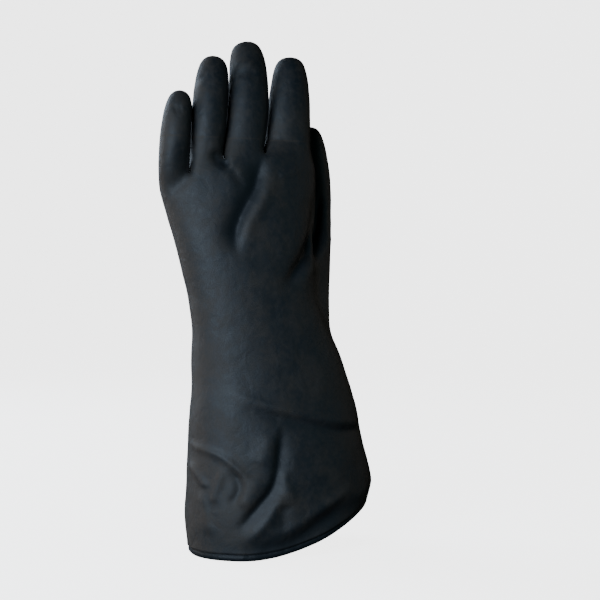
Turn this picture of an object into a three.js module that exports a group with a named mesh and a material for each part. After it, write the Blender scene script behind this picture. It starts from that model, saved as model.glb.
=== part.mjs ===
// A builder's heavy rubber gauntlet glove for the left hand, standing open on its cuff.
// It is one dipped skin of rubber: gauntlet, palm, four fingers and a thumb, with a rolled edge
// round the cuff. Millimetres, +Z up, +X the thumb side, -Y the back of the hand, +Y the palm.
import * as THREE from "three";

// Driving sizes
const wall = 1.5; // thickness of the dipped rubber
const edgeRoll = 2.8; // radius of the rolled edge of the cuff
const rollInset = 0.4; // how far inside the wall's middle the roll's own middle lies
const edgeLift = 36; // how far the edge curls up off the floor on the thumb side
const liftReach = 110; // height over which the gauntlet follows that curl
const knuckles = [-74.5, -57.5, -34, -5.5, 32.5]; // x of the sides of the four finger roots

// The gauntlet and palm, a section a row from the cuff to the roots of the fingers.
// x, y: middle of the section; across, deep: half its width and depth; square: 2 is an ellipse;
// even: 1 spreads the points evenly towards the four fingers; cup: how far its two edges turn
// towards the palm; slope: rise towards the thumb, per mm; dome: how much lower its two
// edges are than its middle.
const sections = [
  { z: 2, x: 10.5, y: 4, across: 65.5, deep: 47, square: 2.1, even: 0, cup: 0, slope: 0, dome: 0 },
  { z: 21, x: 11, y: 4, across: 67.5, deep: 48.5, square: 2.1, even: 0, cup: 0, slope: 0, dome: 0 },
  { z: 39, x: 10, y: 4, across: 66.5, deep: 47, square: 2.1, even: 0, cup: 0, slope: 0, dome: 0 },
  { z: 57, x: 8.5, y: 3, across: 64.5, deep: 45, square: 2.1, even: 0, cup: 0, slope: 0, dome: 0 },
  { z: 75, x: 7, y: 3, across: 62.5, deep: 43, square: 2.1, even: 0, cup: 0, slope: 0, dome: 0 },
  { z: 94, x: 5.5, y: 2, across: 60.5, deep: 40, square: 2.1, even: 0, cup: 0, slope: 0, dome: 0 },
  { z: 113, x: 3, y: 1, across: 57, deep: 36, square: 2.1, even: 0, cup: 0, slope: 0, dome: 0 },
  { z: 132, x: -0.5, y: 1, across: 54, deep: 33, square: 2.1, even: 0, cup: 0, slope: 0, dome: 0 },
  { z: 152, x: -5, y: 0, across: 49, deep: 30, square: 2.1, even: 0, cup: 0, slope: 0, dome: 0 },
  { z: 174, x: -10, y: 0, across: 46.5, deep: 27, square: 2.15, even: 0.1, cup: 1, slope: 0, dome: 0 },
  { z: 198, x: -13.3, y: 0, across: 48.3, deep: 25, square: 2.2, even: 0.35, cup: 3, slope: 0, dome: 0 },
  { z: 222, x: -16.3, y: 0, across: 51.1, deep: 23, square: 2.4, even: 0.6, cup: 5, slope: 0.04, dome: 3 },
  { z: 246, x: -18, y: 0, across: 54.6, deep: 20, square: 2.7, even: 0.85, cup: 7, slope: 0.1, dome: 8 },
  { z: 270, x: -19.7, y: 0, across: 57.3, deep: 15, square: 3.2, even: 1, cup: 7, slope: 0.16, dome: 14 },
];

// The four fingers. tip: middle of the fingertip's end; bend: how far the finger's middle stands
// off the straight line to its tip, in x and y; across, deep: half its width and depth; root: how
// much wider it is at its root, as a share of its width.
const fingers = [
  { name: "little", tip: [-60.2, 10.5, 315.6], bend: [-3.9, -7], across: 10.2, deep: 11, root: 0.12 },
  { name: "ring", tip: [-35.7, 12, 341], bend: [-0.8, -6.2], across: 12.1, deep: 12.4, root: 0.08 },
  { name: "middle", tip: [-11.3, 17.5, 354], bend: [3.1, -4], across: 13.5, deep: 12.8, root: 0.24 },
  { name: "index", tip: [23, 17, 345], bend: [0.6, -2.5], across: 12.9, deep: 13, root: 0.4 },
];

// Rings along a finger or the thumb: t is the share of its length, size the share of its width.
const fingerRings = [
  { t: 0.13, size: 0.87 },
  { t: 0.34, size: 0.97 },
  { t: 0.57, size: 1 },
  { t: 0.78, size: 0.99 },
  { t: 0.92, size: 0.84 },
  { t: 0.985, size: 0.5 },
];
const rootReach = 0.75; // share of a finger's length over which its wider root narrows

// The thumb grows from a window in the skin on the thumb side and stands in front of the palm.
const thumb = {
  rowLow: 8,
  rowHigh: 11,
  path: [
    [24, 13, 168],
    [39.5, 24.5, 207],
    [45, 30, 250],
    [43, 34, 302],
  ],
  across: 13.2,
  deep: 13.8,
  root: 0,
  turn: -0.2 * Math.PI,
};
const thumbRings = [
  { t: 0.43, size: 1.13 },
  { t: 0.58, size: 1.05 },
  { t: 0.75, size: 1.01 },
  { t: 0.9, size: 0.85 },
  { t: 0.98, size: 0.47 },
];

// Folds that the skin keeps, a fold a row. seen: the side that it is seen square on from, in
// degrees round the axis, 0 the back of the hand, 90 the thumb side and 180 the palm. line: its
// run as [across, height] seen from there. depth: how far it is pressed in, less than 0 for a
// ridge. width: half its width.
const folds = [
  {
    name: "between middle and index finger",
    seen: -20,
    line: [[-2, 284], [-5, 262], [-8, 248], [-13, 237], [-18, 226], [-21, 214], [-20, 198]],
    depth: 4.5,
    width: 9.5,
  },
  {
    name: "below the little finger",
    seen: -20,
    line: [[-50, 278], [-54, 260], [-57, 250], [-66, 242]],
    depth: 2.5,
    width: 9,
  },
  {
    name: "round the root of the thumb",
    seen: -20,
    line: [[36, 244], [36, 227], [33, 214], [27, 200], [17, 187], [6, 176]],
    depth: 4.5,
    width: 9,
  },
  {
    name: "rim of the thumb's root",
    seen: -20,
    line: [[46, 222], [40, 204], [31, 190], [20, 176]],
    depth: -2,
    width: 9,
  },
  {
    name: "step round the cuff, upper side",
    seen: -20,
    line: [[-32, 112], [-8, 106], [8, 101], [24, 97], [42, 93], [68, 89]],
    depth: -2,
    width: 8.5,
  },
  {
    name: "step round the cuff, lower side",
    seen: -20,
    line: [[-20, 94], [0, 89], [18, 85], [34, 81], [50, 78], [70, 76]],
    depth: 3.2,
    width: 8.5,
  },
  {
    name: "sharp crease down the cuff",
    seen: -20,
    line: [[14, 86], [11, 70], [8, 56], [2, 42], [-5, 31], [-13, 22], [-26, 11]],
    depth: 5,
    width: 9.5,
  },
  {
    name: "bulge left of the crease",
    seen: -20,
    line: [[-8, 68], [-14, 50], [-22, 36], [-30, 26]],
    depth: -2.5,
    width: 10,
  },
  {
    name: "ridge right of the crease",
    seen: -20,
    line: [[20, 70], [20, 48], [12, 30], [0, 14]],
    depth: -2.5,
    width: 9,
  },
  {
    name: "ridge near the little side",
    seen: -20,
    line: [[-60, 76], [-46, 72], [-32, 67], [-16, 60]],
    depth: -1.8,
    width: 8.5,
  },
  {
    name: "dent near the little side",
    seen: -20,
    line: [[-30, 60], [-26, 52], [-28, 42]],
    depth: 2.5,
    width: 9,
  },
  {
    name: "hollow where the cuff turns in to its edge",
    seen: -20,
    line: [[-20, 3], [6, 5], [22, 11], [36, 20], [50, 28], [62, 32]],
    depth: 4,
    width: 9,
  },
  {
    name: "crease across the palm",
    seen: 180,
    line: [[44, 230], [34, 220], [20, 206], [8, 192], [-8, 176]],
    depth: 4,
    width: 9,
  },
  {
    name: "hollow of the wrist",
    seen: 180,
    line: [[26, 164], [12, 156], [0, 152]],
    depth: 4,
    width: 15,
  },
  {
    name: "slanting ridge of the gauntlet",
    seen: 180,
    line: [[-44, 182], [-30, 152], [-16, 124], [0, 102], [16, 86]],
    depth: -4,
    width: 12,
  },
  {
    name: "step below the slanting ridge",
    seen: 180,
    line: [[22, 80], [0, 85], [-18, 84], [-38, 80], [-58, 76]],
    depth: 3.5,
    width: 9,
  },
  {
    name: "fold down the palm side of the cuff",
    seen: 180,
    line: [[-24, 78], [-30, 60], [-40, 42], [-50, 26]],
    depth: 4,
    width: 9,
  },
  {
    name: "fold down the little side of the cuff",
    seen: 235,
    line: [[18, 100], [10, 76], [12, 52], [20, 30]],
    depth: 3,
    width: 10,
  },
];
const foldFade = 0.3; // share of a fold's length over which it fades at each end

// Layout of the cage: fingers side by side, each so many faces wide on the back and on the palm.
const fingerCount = fingers.length;
const facesPerFinger = 3;
const backPoints = fingerCount * facesPerFinger + 1;
const columns = 2 * backPoints + 2;

// Column numbers run from the thumb edge over the palm to the little edge and round the back.
const thumbEdge = 0;
const littleEdge = backPoints + 1;
const palmColumn = (i) => backPoints - i; // i counts from the little finger's outer side
const backColumn = (i) => (littleEdge + 1 + i) % columns;

// A cage of flat faces that refining smooths, as sculptors' control meshes are smoothed.
const cage = { points: [], faces: [] };

function addPoint(x, y, z) {
  cage.points.push(new THREE.Vector3(x, y, z));
  return cage.points.length - 1;
}

// Faces between two loops of points of the same length, the second further along the skin.
function addBand(low, high) {
  low.forEach((a, i) => {
    const j = (i + 1) % low.length;
    cage.faces.push([a, low[j], high[j], high[i]]);
  });
}

// A smoothed loop lies inside its cage by this share, so cages are made that much larger.
const swell = (count) => 3 / (2 + Math.cos((2 * Math.PI) / count));

// How far the cuff's edge is off the floor at a turn about the axis, 0 at the thumb side and
// growing towards the palm. It rises most at peak and meets the floor a span away on each side.
const liftSpread = { peak: -0.09, palmSpan: 1.2, backSpan: 2.06 };
function liftAt(turn) {
  const { peak, palmSpan, backSpan } = liftSpread;
  const from = Math.atan2(Math.sin(turn - peak), Math.cos(turn - peak));
  const share = from > 0 ? from / palmSpan : -from / backSpan;
  return share < 1 ? edgeLift * 0.5 * (1 + Math.cos(Math.PI * share)) : 0;
}

// Where a column stands across the knuckles, from -1 to 1. Columns count from the little side.
function knuckleAt(place) {
  const finger = Math.min(Math.floor(place / facesPerFinger), fingerCount - 1);
  const share = place / facesPerFinger - finger;
  const { x, across } = sections[sections.length - 1];
  return (THREE.MathUtils.lerp(knuckles[finger], knuckles[finger + 1], share) - x) / across;
}

function sectionPoint(section, column) {
  const turn = (2 * Math.PI * column) / columns;
  const isEdge = column === thumbEdge || column === littleEdge;
  const side = column < littleEdge ? 1 : -1; // 1 on the palm, -1 on the back
  const place = side > 0 ? backPoints - column : column - littleEdge - 1;
  const along = isEdge
    ? Math.cos(turn)
    : THREE.MathUtils.lerp(Math.cos(turn), knuckleAt(place), section.even);
  const out = Math.abs(along) < 1 ? (1 - Math.abs(along) ** section.square) ** (1 / section.square) : 0;
  const grown = swell(columns);
  const x = section.across * along * grown;
  const y = section.deep * side * out * grown + section.cup * along * along;
  const fade = Math.max(0, 1 - section.z / liftReach);
  const level = section.z + section.slope * x - section.dome * along * along;
  const z = level + liftAt(turn) * fade * fade;
  return addPoint(section.x + x, section.y + y, z);
}

const rows = sections.map((section) =>
  Array.from({ length: columns }, (unused, column) => sectionPoint(section, column)),
);

// The window that the thumb grows from: columns round the thumb edge between two rows.
const windowColumns = [backColumn(backPoints - 1), 0, 1, 2, 3];
const inWindow = (row, column) =>
  row >= thumb.rowLow && row < thumb.rowHigh && windowColumns.slice(0, -1).includes(column);

rows.slice(0, -1).forEach((low, row) => {
  low.forEach((unused, column) => {
    const next = (column + 1) % columns;
    if (!inWindow(row, column)) {
      cage.faces.push([low[column], low[next], rows[row + 1][next], rows[row + 1][column]]);
    }
  });
});

// Rings of points round a bent line, which starts at the loop of points of the skin that it
// grows from. firstAngle is where a ring's first point stands, from +X towards +Y.
function addDigit(base, curve, rings, { across, deep, root }, firstAngle) {
  const grown = swell(base.length);
  let low = base;
  rings.forEach(({ t, size }) => {
    const wide = across * (size + root * Math.max(0, 1 - t / rootReach));
    const middle = curve.getPoint(t);
    const along = curve.getTangent(t);
    const right = new THREE.Vector3(1, 0, 0).addScaledVector(along, -along.x).normalize();
    const front = new THREE.Vector3().crossVectors(along, right);
    const high = base.map((unused, i) => {
      const angle = firstAngle + (2 * Math.PI * i) / base.length;
      const p = middle
        .clone()
        .addScaledVector(right, Math.cos(angle) * wide * grown)
        .addScaledVector(front, Math.sin(angle) * deep * size * grown);
      return addPoint(p.x, p.y, p.z);
    });
    addBand(low, high);
    low = high;
  });
  cage.faces.push([...low]);
}

function middleOf(loop) {
  const sum = new THREE.Vector3();
  loop.forEach((index) => sum.add(cage.points[index]));
  return sum.divideScalar(loop.length);
}

// The webs: one point between the back and the palm in each gap between two fingers.
const top = rows[rows.length - 1];
const sidePoints = [top[littleEdge]];
for (let gap = 1; gap < fingerCount; gap += 1) {
  const i = gap * facesPerFinger;
  const web = middleOf([top[backColumn(i)], top[palmColumn(i)]]);
  sidePoints.push(addPoint(web.x, web.y, web.z));
}
sidePoints.push(top[thumbEdge]);

fingers.forEach((finger, f) => {
  const first = f * facesPerFinger;
  const across = Array.from({ length: facesPerFinger + 1 }, (unused, i) => first + i);
  const base = [
    sidePoints[f + 1],
    ...across.toReversed().map((i) => top[palmColumn(i)]),
    sidePoints[f],
    ...across.map((i) => top[backColumn(i)]),
  ];
  const root = middleOf(base);
  const tip = new THREE.Vector3(...finger.tip);
  const [bendX, bendY] = finger.bend;
  const bend = root.clone().lerp(tip, 0.5).add(new THREE.Vector3(2 * bendX, 2 * bendY, 0));
  const curve = new THREE.QuadraticBezierCurve3(root, bend, tip);
  addDigit(base, curve, fingerRings, finger, 0);
});

function addThumb() {
  const between = rows.slice(thumb.rowLow + 1, thumb.rowHigh);
  const back = windowColumns[0];
  const palm = windowColumns[windowColumns.length - 1];
  const base = [
    ...windowColumns.map((column) => rows[thumb.rowLow][column]),
    ...between.map((row) => row[palm]),
    ...windowColumns.toReversed().map((column) => rows[thumb.rowHigh][column]),
    ...between.toReversed().map((row) => row[back]),
  ];
  const curve = new THREE.CatmullRomCurve3(thumb.path.map((point) => new THREE.Vector3(...point)));
  addDigit(base, curve, thumbRings, thumb, thumb.turn);
}
addThumb();

// One round of Catmull-Clark refining, which keeps the open edge of the cuff open.
function refine({ points, faces }) {
  const middles = faces.map((face) => {
    const sum = new THREE.Vector3();
    face.forEach((index) => sum.add(points[index]));
    return sum.divideScalar(face.length);
  });
  const edges = new Map();
  faces.forEach((face, f) => {
    face.forEach((a, i) => {
      const b = face[(i + 1) % face.length];
      const key = a < b ? `${a}_${b}` : `${b}_${a}`;
      if (!edges.has(key)) edges.set(key, { ends: [a, b], faces: [] });
      edges.get(key).faces.push(f);
    });
  });
  const around = points.map(() => ({ faces: [], edges: [], open: [] }));
  faces.forEach((face, f) => face.forEach((index) => around[index].faces.push(f)));
  edges.forEach((edge) => {
    edge.middle = points[edge.ends[0]].clone().add(points[edge.ends[1]]).divideScalar(2);
    edge.ends.forEach((index) => {
      around[index].edges.push(edge.middle);
      if (edge.faces.length === 1) around[index].open.push(edge.middle);
    });
  });
  const average = (list) =>
    list.reduce((sum, p) => sum.add(p), new THREE.Vector3()).divideScalar(list.length);
  const moved = points.map((p, index) => {
    const near = around[index];
    if (near.open.length) return average(near.open).add(p).divideScalar(2);
    const n = near.faces.length;
    return average(near.faces.map((f) => middles[f]))
      .addScaledVector(average(near.edges), 2)
      .addScaledVector(p, n - 3)
      .divideScalar(n);
  });
  const made = [...moved, ...middles];
  edges.forEach((edge) => {
    edge.index = made.length;
    const beside = edge.faces.map((f) => middles[f]);
    made.push(beside.length === 1 ? edge.middle : average([...beside, edge.middle, edge.middle]));
  });
  const edgeIndex = (a, b) => edges.get(a < b ? `${a}_${b}` : `${b}_${a}`).index;
  const quads = faces.flatMap((face, f) =>
    face.map((index, i) => [
      index,
      edgeIndex(index, face[(i + 1) % face.length]),
      points.length + f,
      edgeIndex(face[(i + face.length - 1) % face.length], index),
    ]),
  );
  return { points: made, faces: quads };
}

// Normals of a quad mesh's points, from the two diagonals of each face round a point.
function normalsOf({ points, faces }) {
  const normals = points.map(() => new THREE.Vector3());
  const diagonal = [new THREE.Vector3(), new THREE.Vector3()];
  faces.forEach(([a, b, c, d]) => {
    diagonal[0].subVectors(points[c], points[a]);
    diagonal[1].subVectors(points[d], points[b]);
    const area = new THREE.Vector3().crossVectors(diagonal[0], diagonal[1]);
    [a, b, c, d].forEach((index) => normals[index].add(area));
  });
  return normals.map((normal) => normal.normalize());
}

// The points inside the thumb's window carry no face, so they are left out.
function dropSpare({ points, faces }) {
  const used = [...new Set(faces.flat())];
  const place = new Map(used.map((index, i) => [index, i]));
  return {
    points: used.map((index) => points[index]),
    faces: faces.map((face) => face.map((index) => place.get(index))),
  };
}

// How far a point of a view is from a fold's line, and its share of the way along it.
function nearestOn(line, across, height) {
  const best = { gap: Infinity, share: 0 };
  line.slice(1).forEach(([endAcross, endHeight], i) => {
    const [startAcross, startHeight] = line[i];
    const runAcross = endAcross - startAcross;
    const runHeight = endHeight - startHeight;
    const along = (across - startAcross) * runAcross + (height - startHeight) * runHeight;
    const t = THREE.MathUtils.clamp(along / (runAcross ** 2 + runHeight ** 2), 0, 1);
    const gap = Math.hypot(
      across - startAcross - t * runAcross,
      height - startHeight - t * runHeight,
    );
    if (gap < best.gap) Object.assign(best, { gap, share: (i + t) / (line.length - 1) });
  });
  return best;
}

function foldDepthAt(fold, point, normal) {
  const seen = THREE.MathUtils.degToRad(fold.seen);
  const facing = normal.x * Math.sin(seen) - normal.y * Math.cos(seen);
  const across = point.x * Math.cos(seen) + point.y * Math.sin(seen);
  const { gap, share } = nearestOn(fold.line, across, point.z);
  const { smoothstep } = THREE.MathUtils;
  const ends = smoothstep(share, 0, foldFade) * smoothstep(1 - share, 0, foldFade);
  return fold.depth * Math.exp(-((gap / fold.width) ** 2)) * ends * smoothstep(facing, 0, 0.4);
}

// Presses the folds into a smooth skin. Points move level, so that the cuff's edge stays flat.
function pressFolds(smooth) {
  const normals = normalsOf(smooth);
  const points = smooth.points.map((point, i) => {
    const level = normals[i].clone().setZ(0);
    const depth = folds.reduce((sum, fold) => sum + foldDepthAt(fold, point, normals[i]), 0);
    return point.clone().addScaledVector(level, -depth);
  });
  return { points, faces: smooth.faces };
}

const skin = pressFolds(refine(dropSpare(cage)));

// The rolled edge in section, as shares of its radius: out from its middle, and up.
// It goes from the outer skin to the inner one, over the flat that the glove stands on.
const rollProfile = [
  [0.84, 0.54],
  [1, 0],
  [0.84, -0.54],
  [0.4, -1],
  [-0.4, -1],
  [-0.84, -0.54],
  [-1, 0],
  [-0.84, 0.54],
];

function openLoop({ faces }) {
  const next = new Map();
  const seen = new Set();
  faces.forEach((face) =>
    face.forEach((a, i) => seen.add(`${a}_${face[(i + 1) % face.length]}`)),
  );
  seen.forEach((key) => {
    const [a, b] = key.split("_").map(Number);
    if (!seen.has(`${b}_${a}`)) next.set(a, b);
  });
  const [start] = next.keys();
  const loop = [start];
  while (next.get(loop[loop.length - 1]) !== start) loop.push(next.get(loop[loop.length - 1]));
  return loop;
}

// Outer skin, inner skin a wall's thickness inside it, and the rolled edge that joins them.
function thicken(outer) {
  const normals = normalsOf(outer);
  const count = outer.points.length;
  const inner = outer.points.map((p, i) => p.clone().addScaledVector(normals[i], -wall));
  const points = [...outer.points, ...inner];
  const faces = [
    ...outer.faces,
    ...outer.faces.map((face) => face.map((index) => index + count).reverse()),
  ];
  const loop = openLoop(outer);
  let ring = loop;
  rollProfile.forEach(([out, up]) => {
    const next = loop.map((index) => {
      const p = outer.points[index];
      const away = normals[index].clone().setZ(0).normalize();
      points.push(
        new THREE.Vector3(p.x, p.y, p.z + (up - 1) * edgeRoll)
          .addScaledVector(away, out * edgeRoll - wall / 2 - rollInset),
      );
      return points.length - 1;
    });
    ring.forEach((a, i) => {
      const j = (i + 1) % ring.length;
      faces.push([ring[j], a, next[i], next[j]]);
    });
    ring = next;
  });
  ring.forEach((a, i) => {
    const j = (i + 1) % ring.length;
    faces.push([ring[j], a, loop[i] + count, loop[j] + count]);
  });
  return { points, faces };
}

// A four-sided face as two triangles, cut along its shorter diagonal so that slanting folds run
// smoothly.
function splitFace([a, b, c, d], points) {
  const isFirstShorter = points[a].distanceTo(points[c]) <= points[b].distanceTo(points[d]);
  return isFirstShorter ? [a, b, c, a, c, d] : [a, b, d, b, c, d];
}

function geometryOf({ points, faces }) {
  const geometry = new THREE.BufferGeometry().setFromPoints(points);
  geometry.setIndex(faces.flatMap((face) => splitFace(face, points)));
  geometry.computeBoundingBox();
  const { min, max } = geometry.boundingBox;
  geometry.translate(-(min.x + max.x) / 2, -(min.y + max.y) / 2, -min.z);
  geometry.computeVertexNormals();
  return geometry;
}

const rubber = new THREE.MeshStandardMaterial({ color: 0x14171a, roughness: 0.5, metalness: 0 });
const glove = new THREE.Mesh(geometryOf(thicken(skin)), rubber);
glove.name = "glove_shell";

const part = new THREE.Group();
part.add(glove);
export default part;
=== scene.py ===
"""A heavy black rubber gauntlet glove for the left hand, standing open on its rolled cuff edge.

The glove is one dipped skin. A coarse cage is extruded loop by loop from the cuff to the tips of
the fingers, subdivided smooth, pressed into its folds, and closed with the rolled edge and an
inner skin. The cage, the skins and their tables are in millimetres. The finished mesh, its finish
and the studio are in metres.
"""

import math
from functools import partial
from typing import NamedTuple

import bmesh
import bpy
import numpy as np
from bpy.props import FloatProperty, FloatVectorProperty, PointerProperty
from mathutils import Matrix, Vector, noise


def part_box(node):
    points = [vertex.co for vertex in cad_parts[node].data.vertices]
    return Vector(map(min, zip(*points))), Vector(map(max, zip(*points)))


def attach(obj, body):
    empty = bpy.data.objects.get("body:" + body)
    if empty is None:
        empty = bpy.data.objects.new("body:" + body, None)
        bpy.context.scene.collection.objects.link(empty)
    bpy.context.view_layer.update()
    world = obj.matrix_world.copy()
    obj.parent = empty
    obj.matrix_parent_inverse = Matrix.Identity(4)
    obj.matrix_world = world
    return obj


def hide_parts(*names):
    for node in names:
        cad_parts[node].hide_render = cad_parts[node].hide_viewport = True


bl_info = {
    "name": "Rubber gauntlet glove",
    "version": (1, 0, 0),
    "blender": (4, 5, 0),
    "location": "View3D > Sidebar > Glove",
    "description": "Builds a heavy rubber gauntlet glove with its folds, rolled edge and finish",
    "category": "Object",
}

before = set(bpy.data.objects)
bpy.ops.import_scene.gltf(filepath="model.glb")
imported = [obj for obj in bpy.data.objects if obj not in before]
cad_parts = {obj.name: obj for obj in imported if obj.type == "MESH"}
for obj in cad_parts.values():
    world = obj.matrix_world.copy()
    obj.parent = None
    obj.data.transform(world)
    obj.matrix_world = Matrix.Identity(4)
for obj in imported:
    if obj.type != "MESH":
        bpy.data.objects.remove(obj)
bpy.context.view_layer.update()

SHELL_NODE = "glove_shell"
BODY = "root"
SKIN_NAME = "rubber_skin"
FOLD_ATTRIBUTE = "fold"

MM = 0.001

# How fine the cage is: faces across a finger on each of its sides, rows of faces between two
# sections, and the levels of subdivision of the outer and the inner skin
FACES_PER_FINGER = 3
ROWS_PER_BAND = 2
SMOOTH_LEVEL = 3
INNER_LEVEL = 2

# The cuff's edge lies highest at a turn of LIFT_PEAK about the axis, in radians. From there it
# comes down over one span on the palm's side and another on the back's, and the gauntlet follows
# it up to LIFT_REACH.
LIFT_PEAK = -0.09
LIFT_PALM_SPAN = 1.5
LIFT_BACK_SPAN = 2.06
LIFT_REACH = 110

# The rolled edge: the angles at which it leaves the outer skin and ends inside, how far its
# middle lies inside the wall's middle, and the depth of fold it is given, so that its finish is
# painted dark and dull as a deep fold: painted shade on the rolled edge
ROLL_START = math.radians(52)
ROLL_END = math.radians(-232)
ROLL_STEPS = 16
ROLL_INSET = 2.2
ROLL_SHADE_DEPTH = 6

# x of the sides of the four finger roots, from the little finger's to the index finger's
KNUCKLES = (-74, -57.5, -34, -5.5, 33.3)


class Section(NamedTuple):
    """A level section of the gauntlet or palm.

    x and y are its middle, across and deep half its width and depth. square 2 is an ellipse, and
    more is squarer. even 1 spreads its points evenly towards the four fingers. cup is how far its
    two edges turn towards the palm, slope its rise towards the thumb per millimetre, and dome how
    much lower its two edges are than its middle.
    """

    z: float
    x: float
    y: float
    across: float
    deep: float
    square: float
    even: float
    cup: float
    slope: float
    dome: float


SECTIONS = (
    Section(1.6, 9.3, 4, 65.7, 47, 2.1, 0, 0, 0, 0),
    Section(21, 9.8, 4, 67.7, 48.5, 2.1, 0, 0, 0, 0),
    Section(39, 9, 4, 66.7, 47, 2.1, 0, 0, 0, 0),
    Section(57, 7.6, 3, 64.6, 45, 2.1, 0, 0, 0, 0),
    Section(75, 6.3, 3, 62.5, 43, 2.1, 0, 0, 0, 0),
    Section(94, 5, 2, 60.5, 40, 2.1, 0, 0, 0, 0),
    Section(113, 3, 1, 57, 36, 2.1, 0, 0, 0, 0),
    Section(132, -0.5, 1, 54, 33, 2.1, 0, 0, 0, 0),
    Section(152, -5, 0, 49, 30, 2.1, 0, 0, 0, 0),
    Section(174, -10.8, 0, 45.7, 27, 2.15, 0.1, 1, 0, 0),
    Section(198, -13.8, 0, 48.8, 25, 2.2, 0.35, 3, 0, 0),
    Section(222, -15.6, 0, 51.5, 23, 2.4, 0.6, 5, 0.04, 3),
    Section(246, -16.8, 0, 54.6, 20, 2.7, 0.85, 7, 0.1, 8),
    Section(270, -18.9, 0, 57.3, 15, 3.2, 1, 7, 0.16, 14),
)


class Finger(NamedTuple):
    """A finger.

    tip is the middle of its end. bend is how far its middle stands off the straight line to its
    tip, in x and y. across and deep are half its width and depth, and root is how much wider it
    is at its root, as a share of its width.
    """

    tip: tuple
    bend: tuple
    across: float
    deep: float
    root: float


LITTLE = Finger((-60.9, 5.4, 314.2), (-3.7, -9), 9.8, 11, 0.26)
RING = Finger((-35.7, 12, 341), (-1.1, -6.2), 12.1, 12.4, 0.1)
MIDDLE = Finger((-11.3, 17.5, 354), (3.3, -4), 13.5, 12.8, 0.24)
INDEX = Finger((22.8, 17.6, 345), (0.1, -2), 13.3, 13, 0.44)
FINGERS = (LITTLE, RING, MIDDLE, INDEX)

# Rings along a finger: share of its length, and size as a share of the finger's
FINGER_RINGS = ((0.13, 0.87), (0.34, 0.97), (0.57, 1), (0.78, 0.99), (0.92, 0.84), (0.985, 0.5))

# Shares of a finger's length: where its wider root ends, and half the stretch that its direction
# is taken over
ROOT_REACH = 0.75
DIRECTION_REACH = 0.01

# The thumb grows along its path from a window in the side of the hand, which lies between two of
# the sections and reaches a few columns over the palm. Its rings are turned to follow the window.
THUMB_LOW = 8
THUMB_HIGH = 11
THUMB_PALM_COLUMNS = 3
THUMB_PATH = ((24, 13, 168), (39.5, 24.5, 207), (45, 30, 250), (43, 34, 302))
THUMB_ACROSS = 13.2
THUMB_DEEP = 13.8
THUMB_TURN = -0.2 * math.pi
THUMB_RINGS = ((0.43, 1.13), (0.58, 1.05), (0.75, 1.01), (0.9, 0.85), (0.98, 0.47))


class Fold(NamedTuple):
    """A fold pressed into the skin, or a ridge where depth is below 0.

    seen is the side it is seen square on from, in degrees round the axis. left and right are
    half its width on the left and on the right as one goes along its line. power 2 is a round
    fold, and less is a sharp one. line is its run, as across and height seen from that side.
    """

    name: str
    seen: float
    depth: float
    left: float
    right: float
    power: float
    line: tuple


# Sides that the folds are seen from
BACK = -20
PALM = 180
LITTLE_SIDE = 235

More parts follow.
